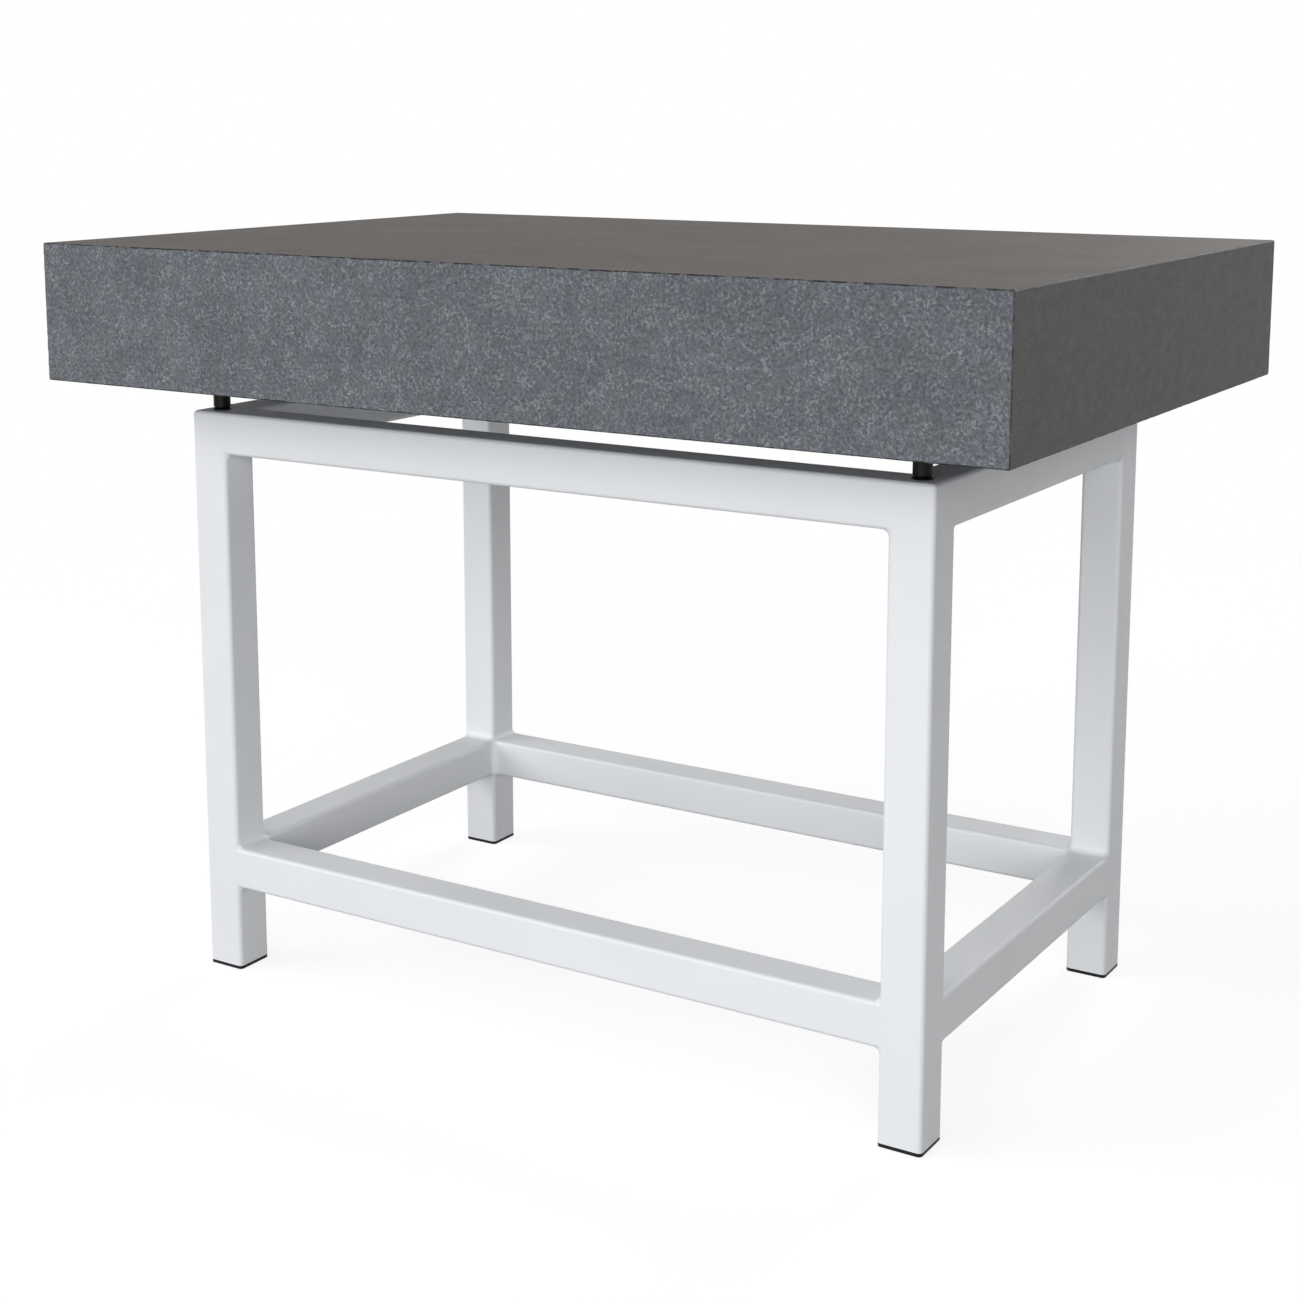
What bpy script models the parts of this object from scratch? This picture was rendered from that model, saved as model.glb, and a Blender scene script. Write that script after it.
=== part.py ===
"""Granite surface plate on a welded square-tube stand with levelling screws.

X runs along the front of the plate, Y from front to back and Z up. The origin lies on the
floor, under the middle of the plate. All sizes are in metres.
"""

import math

import bmesh
import bpy
from mathutils import Matrix, Vector

# Clearance between pieces that touch, and how far a cutting tool runs past what it cuts
SEAT_GAP = 0.0003
OVERRUN = 0.002

# Granite plate
PLATE_LENGTH = 1.200
PLATE_WIDTH = 0.800
PLATE_THICKNESS = 0.160
PLATE_EDGE_CHAMFER = 0.002
PLATE_GAP = 0.040  # top of the stand to the underside of the plate

# Stand, welded from one size of square tube
STAND_LENGTH = 0.960
STAND_WIDTH = 0.580
STAND_HEIGHT = 0.690
LOWER_RAIL_TOP = 0.155
TUBE_WIDTH = 0.050
TUBE_WALL = 0.003
TUBE_CORNER_RADIUS = 0.005
TUBE_CORNER_SEGMENTS = 4

# Weld beads, ground flush on the faces and left as fillets in the corners
WELD_LEG = 0.009
WELD_TOE = 0.0004
WELD_ROOT = 0.001  # how far a bead reaches into the rail's wall
WELD_SETBACK = 0.0002  # how far a bead stays behind the faces that it is flush with
WELD_SEGMENTS = 6
GROOVE_SEGMENTS = 4

# Foot inserts: plastic plugs pushed into the leg ends
FOOT_HEAD_HEIGHT = 0.004
FOOT_HEAD_CHAMFER = 0.0008
FOOT_STEM_WIDTH = 0.038
FOOT_STEM_HEIGHT = 0.028
FOOT_STEM_WALL = 0.003
FOOT_RIB_THICKNESS = 0.0016
FOOT_RIB_PITCH = 0.008
FOOT_RIB_COUNT = 3

# Threaded blocks in the leg tops, and the threaded bush through the rear top rail
NUT_BLOCK_HEIGHT = 0.030
BUSH_DIAMETER = 0.034
BUSH_CHAMFER = 0.001

# Levelling screws: hexagon heads up, with a ball nose that carries a swivel pad
SCREW_DIAMETER = 0.020
SCREW_LENGTH = 0.070
SCREW_TIP_CHAMFER = 0.0015
SCREW_SEGMENTS = 24
HEAD_ACROSS_FLATS = 0.030
HEAD_HEIGHT = 0.0125
HEAD_CROWN = 0.0012  # height of the crown that is turned off the hexagon's top corners
HEAD_LIFT = 0.016  # top of the stand to the underside of the head
NOSE_BALL_RADIUS = 0.008
NOSE_HEIGHT = 0.0045
NOSE_ARC_STEPS = 4

# Swivel pads and their facings
PAD_DIAMETER = 0.040
PAD_CHAMFER = 0.001
PAD_SWIVEL_GAP = 0.001  # top of the head to the underside of the pad
FACING_DIAMETER = 0.034
FACING_THICKNESS = 0.003
FACING_CHAMFER = 0.0005
FACING_RECESS = 0.0012

# The two tilt guards at the back stand this much lower than the three main supports
GUARD_DROP = 0.002

# Places that follow from the sizes above
PLATE_UNDERSIDE = STAND_HEIGHT + PLATE_GAP
LEG_X = (STAND_LENGTH - TUBE_WIDTH) / 2
LEG_Y = (STAND_WIDTH - TUBE_WIDTH) / 2
BORE_WIDTH = TUBE_WIDTH - 2 * TUBE_WALL
BORE_CORNER_RADIUS = TUBE_CORNER_RADIUS - TUBE_WALL
INNER_WIDTH = BORE_WIDTH - 2 * SEAT_GAP
INNER_CORNER_RADIUS = max(BORE_CORNER_RADIUS - SEAT_GAP, 0)
THREAD_BORE_DIAMETER = SCREW_DIAMETER + 2 * SEAT_GAP
BEAD_LENGTH = TUBE_WIDTH - 2 * (TUBE_CORNER_RADIUS + WELD_SETBACK)
TOP_RAIL_MID = STAND_HEIGHT - TUBE_WIDTH / 2
LOWER_RAIL_MID = LOWER_RAIL_TOP - TUBE_WIDTH / 2
HEAD_UNDERSIDE = STAND_HEIGHT + HEAD_LIFT
HEAD_TOP = HEAD_UNDERSIDE + HEAD_HEIGHT
PAD_UNDERSIDE = HEAD_TOP + PAD_SWIVEL_GAP
FACING_TOP = PLATE_UNDERSIDE - SEAT_GAP
FACING_UNDERSIDE = FACING_TOP - FACING_THICKNESS
PAD_SEAT = FACING_UNDERSIDE - SEAT_GAP
PAD_TOP = PAD_SEAT + FACING_RECESS
BALL_CENTRE = HEAD_TOP + NOSE_HEIGHT - NOSE_BALL_RADIUS

# Legs by name, with the signs of their place
LEGS = {
    "front_left": (-1, -1),
    "front_right": (1, -1),
    "rear_right": (1, 1),
    "rear_left": (-1, 1),
}
MAIN_SUPPORTS = {
    "front_left": (-LEG_X, -LEG_Y),
    "front_right": (LEG_X, -LEG_Y),
    "rear_middle": (0, LEG_Y),
}
TILT_GUARDS = {
    "rear_left": (-LEG_X, LEG_Y),
    "rear_right": (LEG_X, LEG_Y),
}


def clear_scene():
    for item in list(bpy.data.objects):
        bpy.data.objects.remove(item, do_unlink=True)


def make_collection(name):
    collection = bpy.data.collections.new(name)
    bpy.context.scene.collection.children.link(collection)
    return collection


def make_material(name, colour, roughness, metallic=0.0):
    material = bpy.data.materials.new(name)
    material.use_nodes = True
    shader = material.node_tree.nodes["Principled BSDF"]
    shader.inputs["Base Color"].default_value = (*colour, 1)
    shader.inputs["Roughness"].default_value = roughness
    shader.inputs["Metallic"].default_value = metallic
    material.diffuse_color = (*colour, 1)
    return material


def evaluated_mesh(item):
    """The object's mesh as its modifiers leave it; the object itself is removed."""
    graph = bpy.context.evaluated_depsgraph_get()
    mesh = bpy.data.meshes.new_from_object(item.evaluated_get(graph))
    bpy.data.objects.remove(item, do_unlink=True)
    return mesh


def scratch_object(data):
    item = bpy.data.objects.new("scratch", data)
    scratch.objects.link(item)
    return item


def edge_runs_along_z(edge):
    start, end = (vertex.co for vertex in edge.verts)
    return abs((end - start).normalized().z) > math.cos(math.radians(1))


def box(size, long_edge_radius=0.0, segments=1, chamfer=0.0, base=0.0):
    """A box standing on base, with its upright edges rounded and all its edges chamfered."""
    mesh = bpy.data.meshes.new("box")
    shape = bmesh.new()
    bmesh.ops.create_cube(shape, size=1, matrix=Matrix.Diagonal((*size, 1)))
    if long_edge_radius:
        edges = [edge for edge in shape.edges if edge_runs_along_z(edge)]
        bmesh.ops.bevel(shape, geom=edges, offset=long_edge_radius, segments=segments,
                        profile=0.5, affect="EDGES")
    if chamfer:
        edges = [edge for edge in shape.edges if not edge_runs_along_z(edge)]
        if not long_edge_radius:
            edges = list(shape.edges)
        bmesh.ops.bevel(shape, geom=edges, offset=chamfer, segments=1, affect="EDGES")
    bmesh.ops.translate(shape, verts=shape.verts, vec=(0, 0, base + size[2] / 2))
    shape.to_mesh(mesh)
    shape.free()
    return mesh


def turned(profile, steps=SCREW_SEGMENTS):
    """A solid of revolution about Z from (radius, height) points, given top to bottom."""
    mesh = bpy.data.meshes.new("turned")
    points = [(radius, 0, height) for radius, height in profile]
    mesh.from_pydata(points, [(i, i + 1) for i in range(len(points) - 1)], [])
    item = scratch_object(mesh)
    screw = item.modifiers.new("Turn", "SCREW")
    screw.axis = "Z"
    screw.steps = steps
    screw.render_steps = steps
    screw.use_merge_vertices = True
    screw.merge_threshold = SEAT_GAP / 10
    return evaluated_mesh(item)


def combine(base, tool, operation):
    """The base mesh with the tool mesh cut out, joined on or kept in common."""
    item = scratch_object(base)
    other = scratch_object(tool)
    boolean = item.modifiers.new("Combine", "BOOLEAN")
    boolean.operation = operation
    boolean.object = other
    mesh = evaluated_mesh(item)
    bpy.data.objects.remove(other, do_unlink=True)
    return mesh


def prism(outline, length):
    """A flat outline in XY, extruded by length along Z and centred on it."""
    curve = bpy.data.curves.new("outline", "CURVE")
    curve.dimensions = "2D"
    curve.fill_mode = "BOTH"
    curve.extrude = length / 2
    spline = curve.splines.new("POLY")
    spline.points.add(len(outline) - 1)
    for point, (x, y) in zip(spline.points, outline):
        point.co = (x, y, 0, 1)
    spline.use_cyclic_u = True
    mesh = evaluated_mesh(scratch_object(curve))
    shape = bmesh.new()
    shape.from_mesh(mesh)
    bmesh.ops.remove_doubles(shape, verts=shape.verts, dist=SEAT_GAP / 10)
    bmesh.ops.recalc_face_normals(shape, faces=shape.faces)
    shape.to_mesh(mesh)
    shape.free()
    return mesh


def arc(centre, radius, start, end, steps):
    """Points on an arc about centre, with angles in radians."""
    angles = [start + (end - start) * i / steps for i in range(steps + 1)]
    return [(centre[0] + radius * math.cos(a), centre[1] + radius * math.sin(a)) for a in angles]


def place(name, mesh, material, parent, location=(0, 0, 0), rotation=(0, 0, 0)):
    """Add a named sub-part that shares the given mesh."""
    mesh.materials.clear()
    mesh.materials.append(material)
    item = bpy.data.objects.new(name, mesh)
    item.location = location
    item.rotation_euler = rotation
    item.parent = parent
    parts.objects.link(item)
    return item


def add_empty(name, parent=None, location=(0, 0, 0)):
    item = bpy.data.objects.new(name, None)
    item.parent = parent
    item.location = location
    parts.objects.link(item)
    return item


def shade_round(mesh):
    mesh.shade_smooth()
    mesh.set_sharp_from_angle(angle=math.radians(35))


def tube(length):
    """Square tube along Z, centred on it, open at both ends."""
    outside = box((TUBE_WIDTH, TUBE_WIDTH, length), TUBE_CORNER_RADIUS, TUBE_CORNER_SEGMENTS,
                  base=-length / 2)
    bore_length = length + 2 * OVERRUN
    bore = box((BORE_WIDTH, BORE_WIDTH, bore_length), BORE_CORNER_RADIUS, TUBE_CORNER_SEGMENTS,
               base=-bore_length / 2)
    return combine(outside, bore, "DIFFERENCE")


def plate_mesh():
    return box((PLATE_LENGTH, PLATE_WIDTH, PLATE_THICKNESS), chamfer=PLATE_EDGE_CHAMFER)


def fillet_bead():
    """A corner weld, laid beside the leg's face x = 0 on the rail's face y = 0.

    It stays just clear of the leg and reaches into the rail, which it is fused with.
    """
    near = SEAT_GAP + WELD_SETBACK
    hollow = arc((WELD_LEG, WELD_LEG), WELD_LEG - WELD_TOE, -math.pi / 2, -math.pi,
                 WELD_SEGMENTS)
    hollow = [(max(x, near + WELD_TOE), y) for x, y in hollow]
    return prism([(near, -WELD_ROOT), (WELD_LEG, -WELD_ROOT), *hollow, (near, WELD_LEG)],
                 BEAD_LENGTH)


def groove_bead():
    """The weld that fills the groove beside a leg's rounded edge, ground flush outside.

    The leg's face lies on x = 0 and curves away in -x and +y from the outer face, y = 0.
    """
    radius = TUBE_CORNER_RADIUS + SEAT_GAP
    deep = TUBE_WALL - WELD_SETBACK
    side = arc((-TUBE_CORNER_RADIUS, TUBE_CORNER_RADIUS), radius,
               -math.asin((TUBE_CORNER_RADIUS - deep) / radius),
               -math.asin((TUBE_CORNER_RADIUS - WELD_SETBACK) / radius), GROOVE_SEGMENTS)
    root = SEAT_GAP + WELD_ROOT
    return prism([(root, WELD_SETBACK), (root, deep), *side], BEAD_LENGTH)


def axes(x, y, z):
    """A rotation whose columns are the given axes."""
    return Matrix((Vector(x), Vector(y), Vector(z))).transposed().to_4x4()


def end_beads(face, on_top, in_corner):
    """The weld beads of a rail's left end, where the leg's face lies at x = face."""
    half = TUBE_WIDTH / 2
    fillet = fillet_bead()
    beads = [(groove_bead(), Matrix.Translation((face, -half, 0)))]
    for up in ((-1, 1) if on_top else (-1,)):
        turn = axes((1, 0, 0), (0, 0, up), (0, -up, 0))
        beads.append((fillet, Matrix.Translation((face, 0, up * half)) @ turn))
    if in_corner:
        beads.append((fillet, Matrix.Translation((face, half, 0))))
    return beads


def rail_mesh(length, on_top, in_corner):
    """A rail along X with its outer face towards -y, with its welds at both ends.

    The lower rails are welded on top as well, and the long rails in the inner corner too.
    """
    rail = tube(length)
    rail.transform(Matrix.Rotation(math.pi / 2, 4, "Y"))
    flip = Matrix.Scale(-1, 4, (1, 0, 0))
    for bead, matrix in end_beads(-length / 2 - SEAT_GAP, on_top, in_corner):
        left = bead.copy()
        left.transform(matrix)
        right = left.copy()
        right.transform(flip)
        right.flip_normals()
        rail = combine(combine(rail, left, "UNION"), right, "UNION")
    return rail


def drilled_rail_mesh(rail):
    """The rear top rail: its upper and lower walls are drilled for the threaded bush."""
    radius = BUSH_DIAMETER / 2 + SEAT_GAP
    reach = TUBE_WIDTH / 2 + OVERRUN
    hole = turned([(0, reach), (radius, reach), (radius, -reach), (0, -reach)])
    return combine(rail.copy(), hole, "DIFFERENCE")


def nut_block_mesh():
    """Steel block flush with the leg's top, bored for the screw."""
    block = box((INNER_WIDTH, INNER_WIDTH, NUT_BLOCK_HEIGHT), INNER_CORNER_RADIUS,
                TUBE_CORNER_SEGMENTS, base=-NUT_BLOCK_HEIGHT)
    radius = THREAD_BORE_DIAMETER / 2
    bottom = -NUT_BLOCK_HEIGHT - OVERRUN
    bore = turned([(0, OVERRUN), (radius, OVERRUN), (radius, bottom), (0, bottom)])
    return combine(block, bore, "DIFFERENCE")


def bush_mesh():
    """Threaded bush as tall as the rail, hanging from z = 0, with chamfered mouths."""
    outer = BUSH_DIAMETER / 2
    inner = THREAD_BORE_DIAMETER / 2
    body = turned([(0, 0), (outer, 0), (outer, -TUBE_WIDTH), (0, -TUBE_WIDTH)])
    mouth = inner + BUSH_CHAMFER
    end = TUBE_WIDTH + OVERRUN
    bore = turned([
        (0, OVERRUN), (mouth, OVERRUN), (mouth, 0), (inner, -BUSH_CHAMFER),
        (inner, BUSH_CHAMFER - TUBE_WIDTH), (mouth, -TUBE_WIDTH), (mouth, -end), (0, -end),
    ])
    return combine(body, bore, "DIFFERENCE")


def foot_mesh():
    """Foot insert standing on z = 0: a head as wide as the tube and a ribbed hollow stem."""
    head = box((TUBE_WIDTH, TUBE_WIDTH, FOOT_HEAD_HEIGHT), TUBE_CORNER_RADIUS,
               TUBE_CORNER_SEGMENTS, FOOT_HEAD_CHAMFER)
    stem_top = FOOT_HEAD_HEIGHT + FOOT_STEM_HEIGHT
    stem_base = FOOT_HEAD_HEIGHT / 2
    stem = box((FOOT_STEM_WIDTH, FOOT_STEM_WIDTH, stem_top - stem_base), BORE_CORNER_RADIUS,
               base=stem_base)
    foot = combine(head, stem, "UNION")
    for count in range(FOOT_RIB_COUNT):
        rib_base = stem_top - FOOT_RIB_THICKNESS - OVERRUN - count * FOOT_RIB_PITCH
        rib = box((INNER_WIDTH, INNER_WIDTH, FOOT_RIB_THICKNESS), INNER_CORNER_RADIUS,
                  base=rib_base)
        foot = combine(foot, rib, "UNION")
    cavity_width = FOOT_STEM_WIDTH - 2 * FOOT_STEM_WALL
    cavity = box((cavity_width, cavity_width, FOOT_STEM_HEIGHT + OVERRUN), base=FOOT_HEAD_HEIGHT)
    return combine(foot, cavity, "DIFFERENCE")


def screw_mesh():
    """Levelling screw with its head's underside at z = 0; the thread is left plain."""
    radius = SCREW_DIAMETER / 2
    mid_head = HEAD_HEIGHT / 2
    shank = turned([
        (0, mid_head), (radius, mid_head), (radius, SCREW_TIP_CHAMFER - SCREW_LENGTH),
        (radius - SCREW_TIP_CHAMFER, -SCREW_LENGTH), (0, -SCREW_LENGTH),
    ])
    corner = HEAD_ACROSS_FLATS / math.sqrt(3)
    hexagon = turned([(0, HEAD_HEIGHT), (corner, HEAD_HEIGHT), (corner, 0), (0, 0)], steps=6)
    flat = HEAD_ACROSS_FLATS / 2
    rim = corner + OVERRUN
    slope = HEAD_CROWN / (corner - flat)
    crown = turned([
        (0, HEAD_HEIGHT), (flat, HEAD_HEIGHT), (rim, HEAD_HEIGHT - slope * (rim - flat)),
        (rim, -OVERRUN), (0, -OVERRUN),
    ])
    head = combine(hexagon, crown, "INTERSECT")
    ball = BALL_CENTRE - HEAD_UNDERSIDE
    sweep = math.acos((mid_head - ball) / NOSE_BALL_RADIUS)
    cap = [(NOSE_BALL_RADIUS * math.sin(sweep * i / NOSE_ARC_STEPS),
            ball + NOSE_BALL_RADIUS * math.cos(sweep * i / NOSE_ARC_STEPS))
           for i in range(NOSE_ARC_STEPS + 1)]
    nose = turned([*cap, (0, mid_head)])
    return combine(combine(head, shank, "UNION"), nose, "UNION")


def pad_mesh():
    """Swivel pad, with z = 0 at the underside of the screw's head."""
    outer = PAD_DIAMETER / 2
    rim = outer - PAD_CHAMFER
    low = PAD_UNDERSIDE - HEAD_UNDERSIDE
    high = PAD_TOP - HEAD_UNDERSIDE
    seat = PAD_SEAT - HEAD_UNDERSIDE
    recess = FACING_DIAMETER / 2 + SEAT_GAP
    socket = NOSE_BALL_RADIUS + SEAT_GAP
    ball = BALL_CENTRE - HEAD_UNDERSIDE
    sweep = math.acos((low - ball) / socket)
    steps = NOSE_ARC_STEPS - 1
    hollow = [(socket * math.sin(sweep * i / steps), ball + socket * math.cos(sweep * i / steps))
              for i in range(steps, -1, -1)]
    return turned([
        (0, seat), (recess, seat), (recess, high), (rim, high), (outer, high - PAD_CHAMFER),
        (outer, low + PAD_CHAMFER), (rim, low), *hollow,
    ])


def facing_mesh():
    """The pad's facing, with z = 0 at the underside of the screw's head."""
    outer = FACING_DIAMETER / 2
    rim = outer - FACING_CHAMFER
    low = FACING_UNDERSIDE - HEAD_UNDERSIDE
    high = FACING_TOP - HEAD_UNDERSIDE
    return turned([(0, high), (rim, high), (outer, high - FACING_CHAMFER), (outer, low), (0, low)])


def build_stand(root):
    """Legs, rails with their welds, threaded blocks, the bush and the feet."""
    leg_base = FOOT_HEAD_HEIGHT + SEAT_GAP
    leg_height = STAND_HEIGHT - leg_base
    leg = tube(leg_height)
    block = nut_block_mesh()
    foot = foot_mesh()
    bush = bush_mesh()
    for mesh in (leg, block, foot, bush):
        shade_round(mesh)

    for name, (side, depth) in LEGS.items():
        x = side * LEG_X
        y = depth * LEG_Y
        place("leg_" + name, leg, coating, root, (x, y, leg_base + leg_height / 2))
        place("foot_insert_" + name, foot, plastic, root, (x, y, 0))
        place("nut_block_" + name, block, coating, root, (x, y, STAND_HEIGHT))
    place("rear_rail_bush", bush, coating, root, (0, LEG_Y, STAND_HEIGHT))

    long_length = 2 * LEG_X - TUBE_WIDTH - 2 * SEAT_GAP
    short_length = 2 * LEG_Y - TUBE_WIDTH - 2 * SEAT_GAP
    for level, height in (("top", TOP_RAIL_MID), ("lower", LOWER_RAIL_MID)):
        on_top = level == "lower"
        long_rail = rail_mesh(long_length, on_top, in_corner=True)
        short_rail = rail_mesh(short_length, on_top, in_corner=False)
        rear_rail = long_rail if on_top else drilled_rail_mesh(long_rail)
        for mesh in (long_rail, short_rail, rear_rail):
            shade_round(mesh)
        rails = {
            "front": (long_rail, (0, -LEG_Y, height), 0),
            "right": (short_rail, (LEG_X, 0, height), math.pi / 2),
            "rear": (rear_rail, (0, LEG_Y, height), math.pi),
            "left": (short_rail, (-LEG_X, 0, height), -math.pi / 2),
        }
        for side, (mesh, spot, turn) in rails.items():
            place(side + "_" + level + "_rail", mesh, coating, root, spot, (0, 0, turn))


def build_supports(root):
    """Five levelling screws with their pads, and the plate that rests on three of them."""
    screw = screw_mesh()
    pad = pad_mesh()
    facing = facing_mesh()
    for mesh in (screw, pad, facing):
        shade_round(mesh)

    height = add_empty("plate_height", root)
    for name, (x, y) in MAIN_SUPPORTS.items():
        spot = (x, y, HEAD_UNDERSIDE)
        place("levelling_screw_" + name, screw, black_steel, height, spot)
        place("swivel_pad_" + name, pad, black_steel, height, spot)
        place("pad_facing_" + name, facing, rubber, height, spot)

    for name, (x, y) in TILT_GUARDS.items():
        axis = add_empty("tilt_guard_" + name, root, (x, y, HEAD_UNDERSIDE - GUARD_DROP))
        place("guard_screw_" + name, screw, black_steel, axis)
        place("guard_pad_" + name, pad, black_steel, axis)
        place("guard_facing_" + name, facing, rubber, axis)

    plate = plate_mesh()
    place("granite_plate", plate, granite, height, (0, 0, PLATE_UNDERSIDE))


clear_scene()
parts = make_collection("granite_surface_plate_with_stand")
scratch = make_collection("scratch")
granite = make_material("granite", (0.127, 0.147, 0.170), 0.5)
coating = make_material("white_powder_coat", (0.80, 0.81, 0.82), 0.4)
black_steel = make_material("black_steel", (0.012, 0.012, 0.013), 0.4, 0.6)
plastic = make_material("black_plastic", (0.020, 0.021, 0.024), 0.5)
rubber = make_material("facing_rubber", (0.028, 0.028, 0.030), 0.8)
stand = add_empty("stand")
build_stand(stand)
build_supports(stand)
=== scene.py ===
"""The looks of a granite surface plate on its welded, white powder-coated stand.

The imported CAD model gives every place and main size, in metres, with X along the front of the
plate, Y to the back and Z up. The stand's tubes become one seamless weldment, the plate gets its
lapped top and sawn sides, and the screws get their threads.
"""

import math
import random

import bmesh
import bpy
from mathutils import Matrix, Vector


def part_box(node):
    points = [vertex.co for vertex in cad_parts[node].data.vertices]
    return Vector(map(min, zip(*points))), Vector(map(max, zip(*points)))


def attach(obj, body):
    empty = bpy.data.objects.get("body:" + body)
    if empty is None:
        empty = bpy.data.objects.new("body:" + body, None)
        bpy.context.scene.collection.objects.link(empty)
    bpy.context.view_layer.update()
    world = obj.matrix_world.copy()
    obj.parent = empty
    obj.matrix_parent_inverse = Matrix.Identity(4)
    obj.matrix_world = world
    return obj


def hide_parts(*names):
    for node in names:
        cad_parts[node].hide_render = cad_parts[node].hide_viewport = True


MM = 0.001
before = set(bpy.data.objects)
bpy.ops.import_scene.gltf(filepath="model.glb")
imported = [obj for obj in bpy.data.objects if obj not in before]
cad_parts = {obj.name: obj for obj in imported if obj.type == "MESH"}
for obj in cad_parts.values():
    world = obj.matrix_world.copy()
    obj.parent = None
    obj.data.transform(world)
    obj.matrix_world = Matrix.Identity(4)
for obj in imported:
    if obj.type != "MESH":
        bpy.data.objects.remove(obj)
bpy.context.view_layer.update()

# Camera, fitted to the photograph's edges
SENSOR_WIDTH = 36.0
FOCAL_LENGTH = 59.71
CAMERA_PLACE = Vector((1.3147, -2.1597, 1.0522))
CAMERA_TURN = math.radians(31.72)
CAMERA_DIP = math.radians(9.33)
CAMERA_SHIFT = -0.15

# Light. A sun of strength 1 shows a surface that faces it in its written colour. Each has its
# turn to the right from straight in front, its height, both in degrees, and its strength.
WHITE = (1.0, 1.0, 1.0)
WORLD_LIGHT = 0.25
SUN_ANGLE = math.radians(30)
SUNS = {
    "left sun": (-60, 25, 0.32),
    "front sun": (-30, 20, 0.172),
    "low right sun": (38, 13, 0.325),
    "back sun": (180, 18, 0.45),
}
FILL_PLACE = Vector((0.4, -2.8, 0.6))
FILL_TARGET = Vector((0, 0, 0.45))
FILL_SIZE = 1.5
FILL_POWER = 20.5

# Floor. It lights the object in its plain tone, is seen paler, with a glow that leaves a soft
# shadow, and turns to pure white between the two distances from the object's middle.
FLOOR_REACH = 60
FLOOR_TONE = (0.30, 0.30, 0.30)
FLOOR_SEEN_TONE = (0.34, 0.34, 0.34)
FLOOR_GLOW = 0.78
FLOOR_WHITE_FROM = 1.4
FLOOR_WHITE_AT = 3.2

# Stand
TUBE_EDGE_RADIUS = 5 * MM
WELD_FILLET_RADIUS = 9 * MM
ROUNDING_SEGMENTS = 6
TUBE_WALL = 3 * MM
TUBE_END_DEPTH = 45 * MM
THREAD_BORE_RADIUS = 10.3 * MM
BORE_MOUTH_CHAMFER = 1 * MM
NUT_BLOCK_HEIGHT = 30 * MM
CUTTER_OVERSHOOT = 1 * MM
FLAT_ANGLE = 0.1
BORE_SLOT = 1

# Plate. A face looks straight along an axis, a chamfer only part of the way.
CHAMFER = 1.4 * MM
CHAMFER_WANDER = 0.35 * MM
CHAMFER_STEP = 6 * MM
CHAMFER_SEED = 7
POINTS_PER_METRE = 1e7
FACE_LOOK = 0.8
CHAMFER_LOOK = 0.3
SIDE_SLOT, TOP_SLOT, CHAMFER_SLOT = 0, 1, 2

# Needles in the stone. Each row is one layer of strokes: the cell, length and width, the shift
# that sets its pattern apart, and the share of the cells that hold a stroke. A stroke fades
# between two shares of its half length and width.
STROKE_CORE_SHARE = 0.3
STROKE_EDGE_SHARE = 1.25
DICE_SPREAD = 17.0
SIDE_NEEDLES = (
    (5.2 * MM, 5.4 * MM, 2.4 * MM, 0.3, 0.75),
    (4.8 * MM, 3.4 * MM, 2.6 * MM, 1.4, 0.75),
    (8.0 * MM, 8.5 * MM, 2.3 * MM, 2.5, 0.65),
    (5.8 * MM, 5.6 * MM, 1.9 * MM, 3.9, 0.60),
)
TOP_NEEDLES = (
    (4.6 * MM, 6.0 * MM, 1.8 * MM, 0.8, 0.75),
    (5.2 * MM, 4.0 * MM, 2.2 * MM, 2.1, 0.60),
)

# Screws
SCREW_RADIUS = 10 * MM
THREAD_PITCH = 2.5 * MM
THREAD_DEPTH = 1.45 * MM
THREAD_SIDES = 32
THREAD_RUNOUT = 2.5 * MM
THREAD_LEAD_IN = 1.5 * MM
THREAD_END_CUT = 0.3 * MM
THREAD_MERGE_DISTANCE = 2e-6
MAIN_SHANK = 14.5 * MM
GUARD_SHANK = 1 * MM
SHANK_OVERLAP = 1 * MM
SHANK_CONE_TOP = 0.4 * MM
SHANK_CONE_END = 0.5 * MM
HEAD_FLATS = 30 * MM
HEAD_HEIGHT = 10.5 * MM
HEAD_CROWN_SLOPE = math.tan(math.radians(28))
HEAD_CIRCLE_SHARE = 0.95
HEAD_UNDERCUT_SHARE = 0.3
HEAD_COLUMNS = 72
WASHER_HEIGHT = 0.4 * MM
WASHER_FOOT_SHARE = 0.98
NOSE_RADIUS = 8 * MM
NOSE_OVER_HEAD = 4.5 * MM
NOSE_OVERLAP = 1 * MM
NOSE_STEPS = 8

# Pads and facings
ROUND_SIDES = 64
PAD_EDGE = 1.2 * MM
PAD_GROOVE_MOUTH = 0.6 * MM
PAD_GROOVE_FLOOR = 0.3 * MM
PAD_GROOVE_DEPTH = 0.5 * MM
PAD_GROOVE_MOUTH_EDGE = 0.2 * MM
PAD_GROOVE_FLOOR_EDGE = 0.1 * MM
PAD_SEAT_DROP = 0.2 * MM
PAD_RECESS_GAP = 0.3 * MM
SOCKET_SHARE = 0.8
SOCKET_TOP_SHARE = 0.55
SOCKET_SIDE_HEIGHT = 3.4 * MM
SOCKET_HEIGHT = 4.0 * MM
FACING_EDGE = 0.8 * MM
BROKEN_EDGE = 0.3 * MM

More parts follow.
